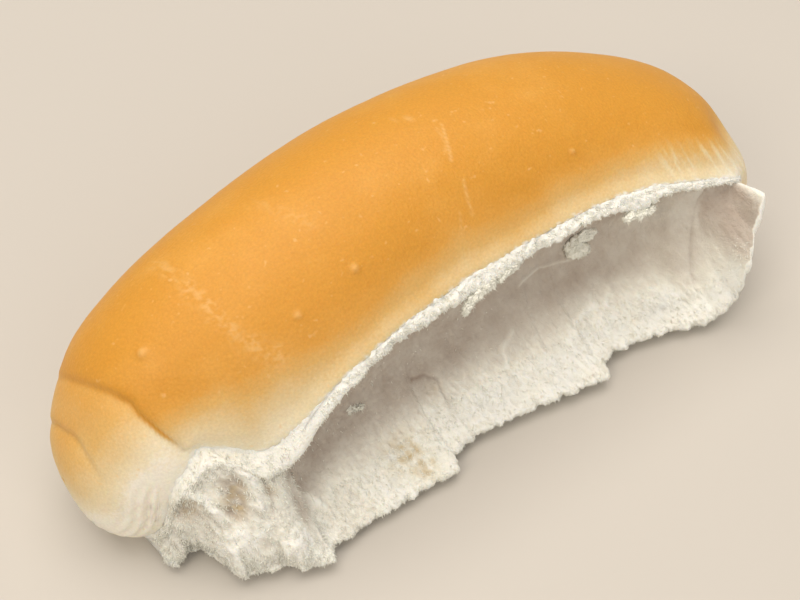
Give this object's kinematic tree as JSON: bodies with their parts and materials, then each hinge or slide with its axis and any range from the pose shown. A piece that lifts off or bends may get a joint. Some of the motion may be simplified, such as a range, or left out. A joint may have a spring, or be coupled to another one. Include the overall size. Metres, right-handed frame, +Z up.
{
  "type": "hot dog bun",
  "caption": "Soft oblong white bread bun, browned on top, with a flat base and one long side torn open to pale crumb over a ragged skirt.",
  "frame": {"origin": "on the flat baked base, half way along the bun, under the middle of the torn scoop's upper edge and crown", "axes": "+X along the bun towards the end with the standing flap of crumb, +Y away from the torn side, +Z up from the base"},
  "size_m": [0.1482, 0.0687, 0.053],
  "materials": {
    "crust": "thin satin golden crust of soft baked bread, fading to cream beside the tear and at the foot",
    "crumb": "torn white crumb of soft bread, matt and finely fibrous, lightly translucent"
  },
  "bodies": {
    "root": {"bun": "crust"}
  },
  "joints": []
}
